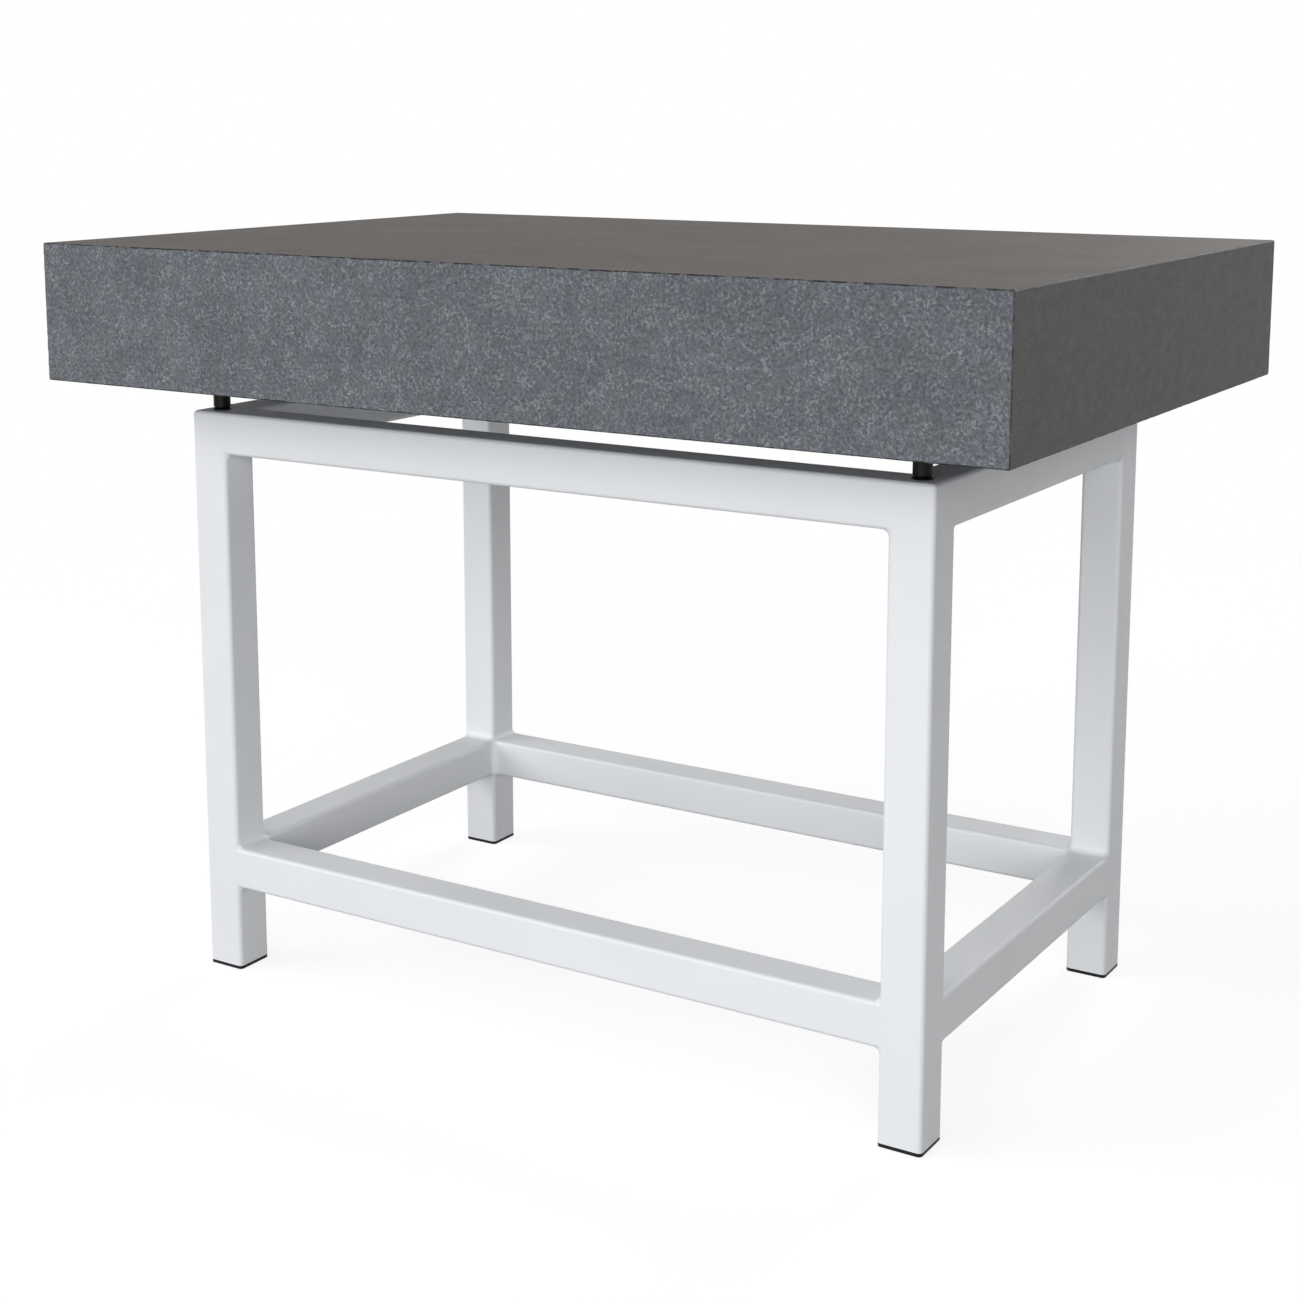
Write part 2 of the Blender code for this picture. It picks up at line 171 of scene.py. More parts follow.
# Feet
CORNER_STEPS = 8
FOOT_HEAD = 4 * MM
FOOT_EDGE = 0.9 * MM
FOOT_TOP_EDGE = 0.3 * MM
FOOT_STEM_WIDTH = 38 * MM
FOOT_STEM_RADIUS = 2 * MM
FOOT_FIN_WIDTH = 43.4 * MM
FOOT_FIN_NARROWING = 0.4 * MM
FOOT_FIN_START = 4 * MM
FOOT_FIN_PITCH = 8 * MM
FOOT_FIN_LEVELS = (0.6 * MM, 1.4 * MM, 3 * MM)
FOOT_FIN_COUNT = 3

# The CAD nodes of each support's screw, pad and facing, and the bodies that screw and pad ride on
MAIN_NODES = ("levelling_screw_", "swivel_pad_", "pad_facing_")
GUARD_NODES = ("guard_screw_", "guard_pad_", "guard_facing_")
SUPPORTS = {
    "front_left": (*MAIN_NODES, "screw_front_left", "support_pads"),
    "front_right": (*MAIN_NODES, "screw_front_right", "support_pads"),
    "rear_middle": (*MAIN_NODES, "screw_rear_middle", "support_pads"),
    "rear_left": (*GUARD_NODES, "guard_screw_rear_left", "guard_pad_rear_left"),
    "rear_right": (*GUARD_NODES, "guard_screw_rear_right", "guard_pad_rear_right"),
}
CORNERS = ("front_left", "front_right", "rear_left", "rear_right")


# Materials


class Graph:
    """The node tree of a material or world, built from short calls.

    An input is a value or a socket.
    """

    def __init__(self, owner):
        owner.use_nodes = True
        self.owner = owner
        self.tree = owner.node_tree

    def node(self, kind, inputs=(), **settings):
        item = self.tree.nodes.new("ShaderNode" + kind)
        for key, value in settings.items():
            setattr(item, key, value)
        for key, value in dict(inputs).items():
            self.feed(item.inputs[key], value)
        return item

    def feed(self, socket, value):
        if isinstance(value, bpy.types.NodeSocket):
            self.tree.links.new(value, socket)
        elif isinstance(value, tuple) and len(value) == 3 and socket.type == "RGBA":
            socket.default_value = (*value, 1)
        else:
            socket.default_value = value

    def math(self, operation, *values):
        return self.node("Math", enumerate(values), operation=operation).outputs[0]

    def vector(self, operation, *values):
        item = self.node("VectorMath", enumerate(values), operation=operation)
        return item.outputs["Value" if operation in ("DOT_PRODUCT", "LENGTH") else "Vector"]

    def split(self, vector):
        return self.node("SeparateXYZ", {0: vector}).outputs

    def step(self, value, low, high, to_low=0.0, to_high=1.0):
        """A smooth change from to_low to to_high as value goes from low to high."""
        item = self.node("MapRange", {0: value, 1: low, 2: high, 3: to_low, 4: to_high},
                         interpolation_type="SMOOTHSTEP")
        return item.outputs[0]

    def mix(self, share, first, second, blend="MIX"):
        item = self.node("Mix", {0: share, 6: first, 7: second}, data_type="RGBA",
                         blend_type=blend)
        return item.outputs[2]

    def tinted(self, colour, factor):
        return self.mix(1.0, colour, factor, "MULTIPLY")

    def mix_numbers(self, share, first, second):
        item = self.node("Mix", {0: share, 2: first, 3: second}, data_type="FLOAT")
        return item.outputs[0]

    def average(self, first, second, share):
        """The first number by its share and the second by the rest."""
        return self.math("ADD", self.math("MULTIPLY", first, share),
                         self.math("MULTIPLY", second, 1 - share))

    def noise(self, where, size, detail=2.0, roughness=0.5):
        """Noise from 0 to 1 with features of about the given size in metres."""
        item = self.node("TexNoise", {"Vector": where, "Scale": 1 / size, "Detail": detail,
                                      "Roughness": roughness})
        return item.outputs[0]

    def place(self):
        return self.node("TexCoord").outputs["Object"]

    def facing(self):
        """How far the face looks along X, Y and Z, from 0 to 1."""
        way = self.split(self.node("NewGeometry").outputs["True Normal"])
        return [self.math("ABSOLUTE", part) for part in way]

    def seen_share(self):
        """1 where the camera sees it, straight or through gloss or glass, and 0 where it lights."""
        path = self.node("LightPath").outputs
        straight = self.math("MAXIMUM", path["Is Camera Ray"], path["Is Glossy Ray"])
        return self.math("MAXIMUM", straight, path["Is Transmission Ray"])

    def finish(self, colour, roughness, height, depth, **sockets):
        """Feeds a material's shader; height from 0 to 1 becomes a bump of the given depth."""
        shader = self.tree.nodes["Principled BSDF"]
        self.feed(shader.inputs["Base Color"], colour)
        self.feed(shader.inputs["Roughness"], roughness)
        for key, value in sockets.items():
            self.feed(shader.inputs[key.replace("_", " ")], value)
        bump = self.node("Bump", {"Strength": 1.0, "Distance": depth, "Height": height})
        self.feed(shader.inputs["Normal"], bump.outputs[0])
        return self.owner


def material_graph(name):
    return Graph(bpy.data.materials.new(name))


def face_masks(graph):
    """1 on the stone's end faces, and 1 on its top and underside."""
    facing = graph.facing()
    return [graph.math("GREATER_THAN", facing[axis], FACE_LOOK) for axis in (0, 2)]


def flat_place(graph, on_end, on_flat):
    """The place on the stone in the plane of the face that it belongs to."""
    spot = graph.split(graph.place())
    across = graph.mix_numbers(on_end, spot[0], spot[1])
    up = graph.mix_numbers(on_flat, spot[2], spot[1])
    return graph.node("CombineXYZ", {0: across, 1: up}).outputs[0]


def ragged(graph, where, size, reach):
    """The place moved about by up to half of reach, so that outlines aren't smooth."""
    noise = graph.node("TexNoise", {"Vector": where, "Scale": 1 / size, "Detail": 1.0})
    aside = graph.vector("SUBTRACT", noise.outputs["Color"], (0.5, 0.5, 0.5))
    moved = graph.node("VectorMath", {0: aside, "Scale": reach}, operation="SCALE")
    return graph.vector("ADD", where, moved.outputs[0])


def needles(graph, where, cell, length, width, shift, share):
    """Short strokes in random directions, about one in each cell, each of its own strength.

    A cell's random colour is its dice: its parts give the stroke's direction, its length, and
    whether there is one and how strong.
    """
    moved = graph.node("Mapping", {"Vector": where, "Location": (shift, -shift, 0),
                                   "Rotation": (0, 0, shift)}).outputs[0]
    cells = graph.node("TexVoronoi", {"Vector": moved, "Scale": 1 / cell, "Randomness": 1.0},
                       voronoi_dimensions="2D")
    dice = graph.node("SeparateColor", {0: cells.outputs["Color"]}).outputs
    angle = graph.math("MULTIPLY", dice[0], math.pi)
    cosine, sine = graph.math("COSINE", angle), graph.math("SINE", angle)
    delta = graph.split(graph.vector("SUBTRACT", moved, cells.outputs["Position"]))
    along = graph.math("ADD", graph.math("MULTIPLY", delta[0], cosine),
                       graph.math("MULTIPLY", delta[1], sine))
    aside = graph.math("SUBTRACT", graph.math("MULTIPLY", delta[0], sine),
                       graph.math("MULTIPLY", delta[1], cosine))
    reach = graph.math("MULTIPLY", graph.math("ADD", dice[1], 0.5), length / 2)
    oval = graph.node("CombineXYZ", {0: graph.math("DIVIDE", along, reach),
                                     1: graph.math("DIVIDE", aside, width / 2)})
    stroke = graph.step(graph.vector("LENGTH", oval.outputs[0]), STROKE_CORE_SHARE,
                        STROKE_EDGE_SHARE, 1.0, 0.0)
    strength = graph.math("FRACT", graph.math("MULTIPLY", dice[2], DICE_SPREAD))
    present = graph.math("LESS_THAN", dice[2], share)
    return graph.math("MULTIPLY", graph.math("MULTIPLY", stroke, present),
                      graph.step(strength, -0.1, 1.2))


def granite_sides():
    """Sawn granite: blue-grey ground, felted with light needles and dark grains.

    The two ends are painted in shade with a darker, plainer grey, so that they are darker and show
    the needles less.
    """
    # The ends' darker, plainer greys are painted shade
    end_face_shade_dark, end_face_shade_pale = (0.121, 0.116, 0.113), (0.142, 0.136, 0.133)
    ground_grey, ground_blue = (0.120, 0.132, 0.142), (0.120, 0.127, 0.152)
    dark_grain, speck, needle = (0.078, 0.086, 0.095), (0.066, 0.072, 0.081), (0.262, 0.280, 0.297)
    warm_tint, cool_tint = (1.022, 0.993, 0.978), (0.978, 0.983, 1.030)

    graph = material_graph("granite_sawn_side")
    on_end, on_flat = face_masks(graph)
    flat = flat_place(graph, on_end, on_flat)
    brushed = graph.vector("MULTIPLY", flat, (0.5, 1, 1))
    painted_end_face_shade = graph.mix(graph.step(graph.noise(brushed, 12 * MM, 3.0), 0.32, 0.68),
                      end_face_shade_dark, end_face_shade_pale)

    where = ragged(graph, flat, 3 * MM, 1.4 * MM)
    ground = graph.mix(graph.step(graph.noise(where, 22 * MM), 0.45, 0.68),
                       ground_grey, ground_blue)
    grain = graph.noise(where, 3.6 * MM, 1.5)
    ground = graph.mix(graph.step(grain, 0.32, 0.62, 0.85, 0.0), ground, dark_grain)
    light = graph.step(graph.noise(where, 3.4 * MM, 1.0), 0.50, 0.78, 0.0, 0.55)
    for layer in SIDE_NEEDLES:
        light = graph.math("MAXIMUM", light, needles(graph, where, *layer))
    patchy = graph.step(graph.noise(where, 18 * MM, 3.0), 0.32, 0.66, 0.32, 1.0)
    light = graph.math("MULTIPLY", light, patchy)
    colour = graph.mix(light, ground, needle)
    specks = graph.step(graph.noise(where, 4.4 * MM, 0.0), 0.64, 0.76)
    colour = graph.mix(graph.math("MULTIPLY", specks, 0.6), colour, speck)

    # Broad patches, and a slow lightening towards the left end, which is a painted sheen
    tint = graph.mix(graph.step(graph.noise(where, 35 * MM, 3.0), 0.3, 0.7),
                     warm_tint, cool_tint)
    tone = graph.step(graph.noise(where, 75 * MM, 3.0), 0.25, 0.75, 0.90, 1.11)
    painted_sheen_drift = graph.step(graph.split(where)[0], -0.7, 0.3, 1.09, 0.985)
    colour = graph.tinted(graph.tinted(colour, tint), graph.math("MULTIPLY", tone, painted_sheen_drift))
    # On the two ends the colour mostly gives way to the darker grey, which is painted shade
    colour = graph.mix(graph.math("MULTIPLY", on_end, 0.74), colour, painted_end_face_shade)

    rough = graph.step(grain, 0.2, 0.8, 0.55, 0.70)
    height = graph.average(light, grain, 0.35)
    return graph.finish(colour, rough, height, depth=0.12 * MM, Specular_IOR_Level=0.12)


def granite_top():
    """Lapped granite: fine and even, with the needles only just showing."""
    ground_dark, ground_pale = (0.138, 0.122, 0.112), (0.146, 0.131, 0.121)
    dark_grain, speck, needle = (0.085, 0.080, 0.076), (0.070, 0.068, 0.066), (0.30, 0.29, 0.28)
    dark_tint, pale_tint = (0.935, 0.925, 0.95), (1.06, 1.06, 1.045)

    graph = material_graph("granite_lapped_top")
    where = flat_place(graph, *face_masks(graph))
    ground = graph.mix(graph.step(graph.noise(where, 50 * MM, 4.0), 0.30, 0.70),
                       ground_dark, ground_pale)
    grain = graph.noise(where, 2 * MM, 3.0, 0.6)
    ground = graph.mix(graph.step(grain, 0.3, 0.7, 0.45, 0.0), ground, dark_grain)
    light = graph.math("MAXIMUM", *[needles(graph, where, *layer) for layer in TOP_NEEDLES])
    colour = graph.mix(graph.math("MULTIPLY", light, 0.34), ground, needle)
    specks = graph.step(graph.noise(where, 4.2 * MM, 0.0), 0.64, 0.76, 0.0, 0.45)
    colour = graph.mix(specks, colour, speck)
    tint = graph.mix(graph.step(graph.noise(where, 160 * MM), 0.3, 0.7), dark_tint, pale_tint)
    rough = graph.math("ADD", graph.step(graph.noise(where, 40 * MM, 4.0), 0.3, 0.7, 0.53, 0.57),
                       graph.math("MULTIPLY", light, 0.04))
    return graph.finish(graph.tinted(colour, tint), rough, grain, depth=0.01 * MM,
                        Specular_IOR_Level=0.02)


def granite_chamfer():
    """The chamfered edges, each coloured in painted shade by the way it faces: darker than the
    faces and broken by light grains.
    """
    # Painted shade: the long, end and upright edges each get their own dark and pale colours
    long_edge_shade_dark, long_edge_shade_pale = (0.034, 0.035, 0.038), (0.125, 0.13, 0.14)
    end_edge_shade_dark, end_edge_shade_pale = (0.060, 0.060, 0.061), (0.090, 0.090, 0.092)
    upright_edge_shade_dark, upright_edge_shade_pale = (0.064, 0.067, 0.076), (0.112, 0.118, 0.131)

    graph = material_graph("granite_chamfer")
    where = graph.place()
    facing = graph.facing()
    on_end = graph.math("GREATER_THAN", facing[0], CHAMFER_LOOK)
    upright = graph.math("LESS_THAN", facing[2], CHAMFER_LOOK)
    grains = graph.step(graph.noise(where, 9 * MM, 3.0, 0.6), 0.50, 0.60)
    broad = graph.step(graph.noise(where, 11 * MM, 3.0), 0.40, 0.58)
    level_edge = graph.mix(on_end, graph.mix(grains, long_edge_shade_dark, long_edge_shade_pale),
                           graph.mix(grains, end_edge_shade_dark, end_edge_shade_pale))
    colour = graph.mix(upright, level_edge, graph.mix(broad, upright_edge_shade_dark, upright_edge_shade_pale))
    return graph.finish(colour, 0.55, graph.noise(where, 2 * MM), depth=0.1 * MM,
                        Specular_IOR_Level=0.05)


def powder_coat():
    """Satin white powder coat with its fine orange peel."""
    dull, bright = (0.772, 0.790, 0.813), (0.789, 0.807, 0.831)
    graph = material_graph("white_powder_coat")
    where = graph.place()
    colour = graph.mix(graph.step(graph.noise(where, 120 * MM, 3.0), 0.3, 0.7), dull, bright)
    peel = graph.noise(where, 1.6 * MM)
    swell = graph.noise(where, 6 * MM, 1.0)
    rough = graph.step(graph.noise(where, 30 * MM), 0.3, 0.7, 0.44, 0.52)
    return graph.finish(colour, rough, graph.average(peel, swell, 0.35), depth=0.12 * MM,
                        Specular_IOR_Level=0.5)


def bare_bore():
    """Machined steel inside the threaded bores, where no coat goes, with painted shade in the
    thread's grooves.
    """
    groove, crest = (0.05, 0.05, 0.05), (0.30, 0.29, 0.28)
    graph = material_graph("bare_bore_steel")
    up = graph.split(graph.place())[2]
    turns = graph.math("SINE", graph.math("MULTIPLY", up, 2 * math.pi / THREAD_PITCH))
    # Darker in the thread's grooves: painted shade
    colour = graph.mix(graph.step(turns, -1.0, 1.0), groove, crest)
    return graph.finish(colour, 0.38, turns, depth=0.4 * MM, Metallic=1.0)


def black_oxide():
    """Blackened steel, worn a little lighter in patches, with turning marks."""
    black, worn = (0.0025, 0.0025, 0.003), (0.010, 0.0097, 0.0095)
    graph = material_graph("black_oxide_steel")
    where = graph.place()
    wear = graph.step(graph.noise(where, 4 * MM, 4.0, 0.6), 0.55, 0.75)
    rough = graph.step(graph.noise(where, 1.2 * MM, 3.0), 0.3, 0.7, 0.34, 0.55)
    level = graph.node("CombineXYZ", {2: graph.split(where)[2]}).outputs[0]
    marks = graph.noise(level, 0.4 * MM)
    return graph.finish(graph.mix(wear, black, worn), rough, marks, depth=0.02 * MM,
                        Specular_IOR_Level=0.14)


def moulded_plastic():
    """Black polyethylene with a fine moulded texture and grey scuffs low down."""
    black, scuffed = (0.0095, 0.0100, 0.0130), (0.075, 0.075, 0.075)
    graph = material_graph("black_moulded_plastic")
    where = graph.place()
    texture = graph.noise(where, 0.5 * MM)
    scuffs = graph.step(graph.noise(where, 3 * MM, 4.0, 0.7), 0.60, 0.78)
    low = graph.step(graph.split(where)[2], 0.0, 2 * MM, 0.35, 0.0)
    colour = graph.mix(graph.math("MULTIPLY", scuffs, low), black, scuffed)
    rough = graph.step(texture, 0.3, 0.7, 0.42, 0.56)
    return graph.finish(colour, rough, texture, depth=0.04 * MM, Specular_IOR_Level=0.15)


def facing_rubber():
    """Matt black rubber with bloom."""
    black, grey = (0.026, 0.026, 0.028), (0.055, 0.054, 0.053)
    graph = material_graph("facing_rubber")
    where = graph.place()
    bloom = graph.step(graph.noise(where, 5 * MM, 4.0, 0.6), 0.4, 0.8)
    rough = graph.step(bloom, 0.0, 1.0, 0.75, 0.9)
    return graph.finish(graph.mix(bloom, black, grey), rough, graph.noise(where, 0.6 * MM),
                        depth=0.05 * MM, Specular_IOR_Level=0.3)


# Mesh code


def mesh_from(shape, name):
    """A mesh from a finished bmesh, with its normals outwards."""
    bmesh.ops.recalc_face_normals(shape, faces=shape.faces)
    mesh = bpy.data.meshes.new(name)
    shape.to_mesh(mesh)
    shape.free()
    return mesh


def smooth(mesh, angle=35):
    mesh.shade_smooth()
    mesh.set_sharp_from_angle(angle=math.radians(angle))


def add_object(name, data):
    item = bpy.data.objects.new(name, data)
    bpy.context.scene.collection.objects.link(item)
    return item


def piece(name, mesh, material, body, nodes):
    """Adds a piece that rides on a body and stands for CAD nodes."""
    if not mesh.materials:
        mesh.materials.append(material)
    item = add_object(name, mesh)
    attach(item, body)
    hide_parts(*nodes)
    return item


def modified(mesh, kind, **settings):
    """The mesh as one modifier leaves it."""
    item = add_object("scratch", mesh)
    modifier = item.modifiers.new(kind, kind)
    for key, value in settings.items():
        setattr(modifier, key, value)
    graph = bpy.context.evaluated_depsgraph_get()
    result = bpy.data.meshes.new_from_object(item.evaluated_get(graph))
    bpy.data.objects.remove(item, do_unlink=True)
    return result


def combined(mesh, other, operation):
    """The union or difference of two closed meshes."""
    tool = add_object("tool", other)
    result = modified(mesh, "BOOLEAN", operation=operation, object=tool, solver="EXACT")
    bpy.data.objects.remove(tool, do_unlink=True)
    return result


def ring_mesh(rings, name):
    """A closed solid from rings of as many points each, from one end to the other."""
    shape = bmesh.new()
    made = [[shape.verts.new(point) for point in ring] for ring in rings]
    for here, there in zip(made, made[1:]):
        for i in range(len(here)):
            j = (i + 1) % len(here)
            shape.faces.new((here[i], there[i], there[j], here[j]))
    shape.faces.new(list(reversed(made[0])))
    shape.faces.new(made[-1])
    return mesh_from(shape, name)


def lathe(profile, sides, centre=(0, 0)):
    """A closed solid of revolution about Z from (radius, height) points, top to bottom."""
    shape = bmesh.new()
    turns = [2 * math.pi * i / sides for i in range(sides)]
    rings = []
    for radius, height in profile:
        if radius == 0:
            rings.append([shape.verts.new((centre[0], centre[1], height))])
        else:
            rings.append([shape.verts.new((centre[0] + radius * math.cos(t),
                                           centre[1] + radius * math.sin(t), height))
                          for t in turns])
    for upper, lower in zip(rings, rings[1:]):
        for i in range(sides):
            j = (i + 1) % sides
            corners = [upper[i % len(upper)], lower[i % len(lower)], lower[j % len(lower)],
                       upper[j % len(upper)]]
            corners = list(dict.fromkeys(corners))
            if len(corners) > 2:
                shape.faces.new(corners)
    return mesh_from(shape, "lathe")


def rounded_profile(corners, steps=4):
    """A profile of (radius, height, edge radius) corners with each corner rounded."""
    points = []
    for index, (radius, height, edge) in enumerate(corners):
        here = Vector((radius, height))
        if edge == 0:
            points.append(tuple(here))
            continue
        back = (Vector(corners[index - 1][:2]) - here).normalized()
        on = (Vector(corners[index + 1][:2]) - here).normalized()
        half = back.angle(on) / 2
        start = edge / math.tan(half)
        middle = here + (back + on).normalized() * (edge / math.sin(half))
        first = here + back * start - middle
        last = here + on * start - middle
        begin = math.atan2(first.y, first.x)
        sweep = math.remainder(math.atan2(last.y, last.x) - begin, 2 * math.pi)
        for i in range(steps + 1):
            angle = begin + sweep * i / steps
            points.append((middle.x + edge * math.cos(angle), middle.y + edge * math.sin(angle)))
    return points


def rounded_square(width, radius, height):
    """Points of a square ring with rounded corners."""
    points = []
    middle = width / 2 - radius
    for quarter in range(4):
        turn = quarter * math.pi / 2
        centre = Vector((middle, middle, 0))
        centre.rotate(Matrix.Rotation(turn, 3, "Z"))
        for i in range(CORNER_STEPS + 1):
            angle = turn + math.pi / 2 * i / CORNER_STEPS
            points.append((centre.x + radius * math.cos(angle),
                           centre.y + radius * math.sin(angle), height))
    return points


# Stand


def cell_weldment(xs, ys, zs):
    """The stand's outside as a cage of flat faces, from 3 by 3 by 4 cells, full or empty.

    The corner columns are the legs, and the second and fourth layers hold the rails. The edges
    carry bevel weights: full for the inside corners, which get the weld's fillet, and less for
    the tubes' own rounded edges.
    """
    columns, rows, layers = len(xs) - 1, len(ys) - 1, len(zs) - 1

    def solid(i, j, k):
        if not (0 <= i < columns and 0 <= j < rows and 0 <= k < layers):
            return False
        legs = i != 1 and j != 1
        rails = k in (1, 3) and (i != 1 or j != 1)
        return legs or rails

    shape = bmesh.new()
    verts = {}

    def vert(i, j, k):
        if (i, j, k) not in verts:
            verts[i, j, k] = shape.verts.new((xs[i], ys[j], zs[k]))
        return verts[i, j, k]

    sides = {
        (1, 0, 0): ((1, 0, 0), (1, 1, 0), (1, 1, 1), (1, 0, 1)),
        (-1, 0, 0): ((0, 0, 0), (0, 0, 1), (0, 1, 1), (0, 1, 0)),
        (0, 1, 0): ((0, 1, 0), (0, 1, 1), (1, 1, 1), (1, 1, 0)),
        (0, -1, 0): ((0, 0, 0), (1, 0, 0), (1, 0, 1), (0, 0, 1)),
        (0, 0, 1): ((0, 0, 1), (1, 0, 1), (1, 1, 1), (0, 1, 1)),
        (0, 0, -1): ((0, 0, 0), (0, 1, 0), (1, 1, 0), (1, 0, 0)),
    }
    for i in range(columns):
        for j in range(rows):
            for k in range(layers):
                if not solid(i, j, k):
                    continue
                for (di, dj, dk), ring in sides.items():
                    if not solid(i + di, j + dj, k + dk):
                        shape.faces.new([vert(i + a, j + b, k + c) for a, b, c in ring])
    shape.normal_update()
    weight = shape.edges.layers.float.new("bevel_weight_edge")
    ground = {verts[key] for key in verts if key[2] == 0}
    for edge in shape.edges:
        if edge.calc_face_angle(0) < FLAT_ANGLE or ground.issuperset(edge.verts):
            continue
        edge[weight] = TUBE_EDGE_RADIUS / WELD_FILLET_RADIUS if edge.is_convex else 1.0
    return mesh_from(shape, "weldment_cage")


def stand_mesh():
    """The weldment with its threaded bores and open tube ends."""
    low_leg, high_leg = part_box("leg_front_left"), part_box("leg_rear_right")
    tube = low_leg[1].x - low_leg[0].x
    lower_low, lower_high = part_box("front_lower_rail")
    lower_mid = (lower_low.z + lower_high.z) / 2
    top = low_leg[1].z
    xs = [low_leg[0].x, low_leg[1].x, high_leg[0].x, high_leg[1].x]
    ys = [low_leg[0].y, low_leg[1].y, high_leg[0].y, high_leg[1].y]
    zs = [low_leg[0].z, lower_mid - tube / 2, lower_mid + tube / 2, top - tube, top]
    mesh = modified(cell_weldment(xs, ys, zs), "BEVEL", limit_method="WEIGHT",
                    width=WELD_FILLET_RADIUS, segments=ROUNDING_SEGMENTS,
                    use_clamp_overlap=False)
    mesh.materials.append(COAT)
    mesh.materials.append(BORE)

    leg_spots = [((xs[i] + xs[i + 1]) / 2, (ys[j] + ys[j + 1]) / 2)
                 for i in (0, 2) for j in (0, 2)]
    bush_low, bush_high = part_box("rear_rail_bush")
    bush_spot = ((bush_low.x + bush_high.x) / 2, (bush_low.y + bush_high.y) / 2)
    bores = [(*spot, NUT_BLOCK_HEIGHT) for spot in leg_spots] + [(*bush_spot, tube / 2)]
    mouth, above = THREAD_BORE_RADIUS + BORE_MOUTH_CHAMFER, top + CUTTER_OVERSHOOT
    cutters = [lathe([(0, above), (mouth, above), (mouth, top),
                      (THREAD_BORE_RADIUS, top - BORE_MOUTH_CHAMFER),
                      (THREAD_BORE_RADIUS, top - depth), (0, top - depth)],
                     ROUND_SIDES, (x, y)) for x, y, depth in bores]
    inside = tube - 2 * TUBE_WALL
    for x, y in leg_spots:
        shape = bmesh.new()
        bmesh.ops.create_cube(shape, size=1, matrix=Matrix.LocRotScale(
            Vector((x, y, zs[0])), None, Vector((inside, inside, 2 * TUBE_END_DEPTH))))
        cutters.append(mesh_from(shape, "tube_end"))
    for cutter in cutters:
        cutter.materials.append(COAT)
        cutter.materials.append(BORE)
        for face in cutter.polygons:
            face.material_index = BORE_SLOT
        mesh = combined(mesh, cutter, "DIFFERENCE")
    smooth(mesh)
    return mesh


def foot_mesh(height, width):
    """A foot insert: a head with a rounded rim, and a stem with raked fins in the tube."""
    corner = TUBE_EDGE_RADIUS
    rim_steps = CORNER_STEPS // 2
    rings = []
    for i in range(rim_steps + 1):
        angle = math.pi / 2 * i / rim_steps
        inset = FOOT_EDGE * (1 - math.sin(angle))
        rings.append((width - 2 * inset, corner - inset, FOOT_EDGE * (1 - math.cos(angle))))
    rings.append((width, corner, FOOT_HEAD - FOOT_TOP_EDGE))
    rings.append((width - 2 * FOOT_TOP_EDGE, corner - FOOT_TOP_EDGE, FOOT_HEAD))
    stem = (FOOT_STEM_WIDTH, FOOT_STEM_RADIUS)
    rings.append((*stem, FOOT_HEAD))
    lip, crest, end = FOOT_FIN_LEVELS
    for count in range(FOOT_FIN_COUNT):
        base = FOOT_HEAD + FOOT_FIN_START + count * FOOT_FIN_PITCH
        rings.append((*stem, base))
        rings.append((FOOT_FIN_WIDTH, FOOT_STEM_RADIUS, base + lip))
        rings.append((FOOT_FIN_WIDTH - FOOT_FIN_NARROWING, FOOT_STEM_RADIUS, base + crest))
        rings.append((*stem, base + end))
    rings.append((*stem, height))
    mesh = ring_mesh([rounded_square(*ring) for ring in rings], "foot")
    smooth(mesh)
    return mesh


def build_stand():
    nodes = [f"{side}_{level}_rail" for side in ("front", "right", "rear", "left")
             for level in ("top", "lower")]
    nodes += [kind + corner for kind in ("leg_", "nut_block_") for corner in CORNERS]
    nodes.append("rear_rail_bush")
    stand = piece("stand_weldment", stand_mesh(), COAT, "stand", nodes)
    normals = stand.modifiers.new("Flat faces", "WEIGHTED_NORMAL")
    normals.keep_sharp = True
    for corner in CORNERS:
        low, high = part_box("foot_insert_" + corner)
        mesh = foot_mesh(high.z, high.x - low.x)
        mesh.transform(Matrix.Translation(((low.x + high.x) / 2, (low.y + high.y) / 2, 0)))
        piece("foot_" + corner, mesh, PLASTIC, "stand",
              ["foot_insert_" + corner])


# Levelling screws, pads and facings


def thread_columns(low, high, radius):
    """Columns of points up a right-handed thread, cut level at both ends.

    The second value is the number of points in one turn.
    """
    turns = int((high - low) / THREAD_PITCH) + 3
    crest, root = radius, radius - THREAD_DEPTH
    # Shares of the pitch, with the radius there
    outline = ((0.0, root), (0.12, root), (0.44, crest), (0.56, crest), (0.88, root))
    columns = []
    for side in range(THREAD_SIDES):
        share = side / THREAD_SIDES
        angle = 2 * math.pi * share
        column = []
        for turn in range(-1, turns):
            for part, reach in outline:
                height = low + (turn + part + share - 1) * THREAD_PITCH
                taper = radius - max(0.0, THREAD_LEAD_IN - (height - low))
                if height > high - THREAD_RUNOUT:
                    reach = root + (reach - root) * max(0.0, (high - height) / THREAD_RUNOUT)
                if height <= low or height >= high:
                    reach = root
                    height = min(max(height, low), high)
                reach = max(min(reach, taper), root - THREAD_END_CUT)
                column.append((reach * math.cos(angle), reach * math.sin(angle), height))
        columns.append(column)
    return columns, len(outline)


